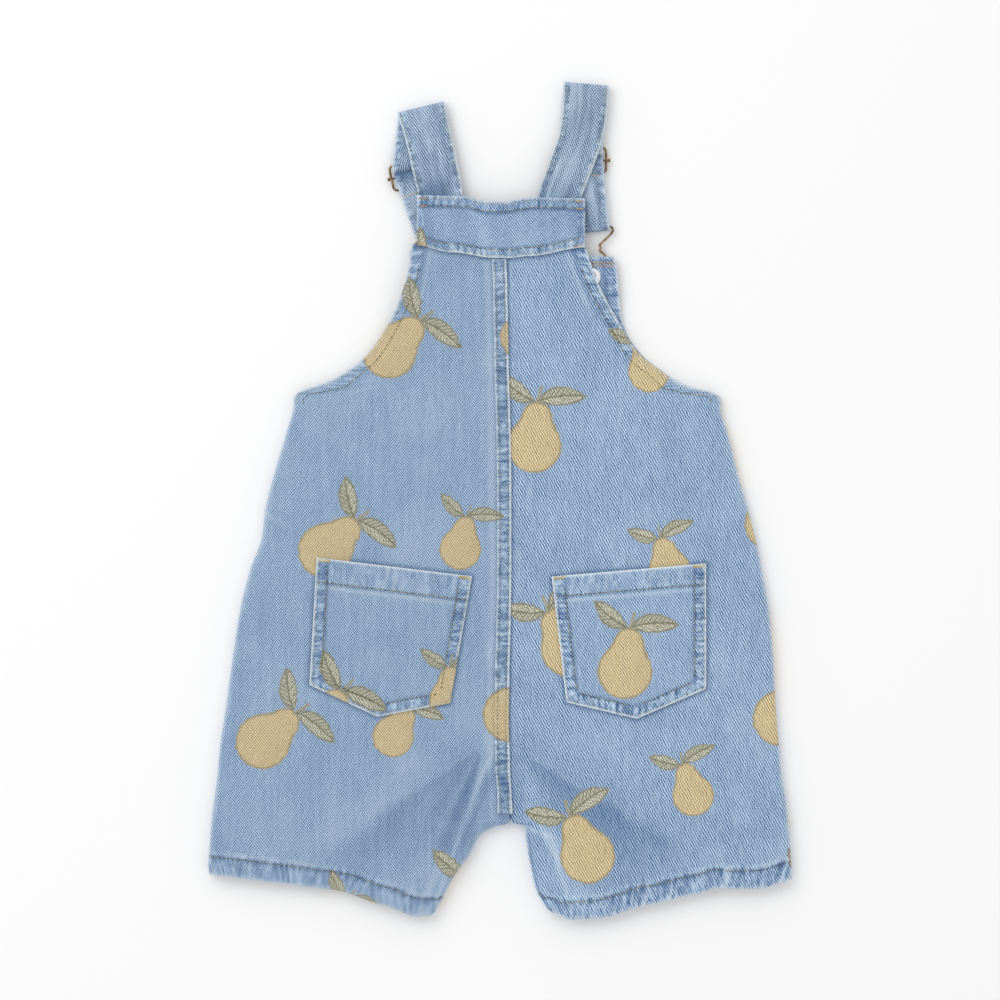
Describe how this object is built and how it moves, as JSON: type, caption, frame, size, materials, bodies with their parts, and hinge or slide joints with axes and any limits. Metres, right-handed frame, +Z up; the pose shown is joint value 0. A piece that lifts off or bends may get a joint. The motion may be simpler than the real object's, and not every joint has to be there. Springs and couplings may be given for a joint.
{
  "type": "child's short denim overalls laid flat, back up",
  "caption": "Child's short denim overalls laid flat with the back up: wide short legs, bib, back patch pockets, and shoulder straps with wire sliders and hooks.",
  "frame": {"origin": "middle of the garment's outline, on the surface it lies on", "axes": "+Y from the hems to the shoulder straps, +X to the right as seen from above, +Z up away from the surface, out of the garment's back"},
  "size_m": [0.3892, 0.5586, 0.011],
  "materials": {
    "denim": "washed light blue twill, matt, paler on its edges, with a printed fruit and leaf repeat",
    "strap_denim": "washed light blue twill, matt",
    "aged_brass": "darkened, satin",
    "pale_nickel": "pale satin plating"
  },
  "bodies": {
    "root": {"back_left": "denim", "back_right": "denim", "front_left": "denim", "front_right": "denim", "back_yoke": "denim", "back_centre_seam": "denim", "pocket_left": "denim", "pocket_right": "denim", "strap_left": "strap_denim", "strap_right": "strap_denim", "slider_left": "aged_brass", "slider_right": "aged_brass", "hook_left": "aged_brass", "hook_right": "aged_brass", "button_left": "aged_brass", "button_right": "aged_brass", "button_tack_left": "pale_nickel", "button_tack_right": "pale_nickel"}
  },
  "joints": []
}
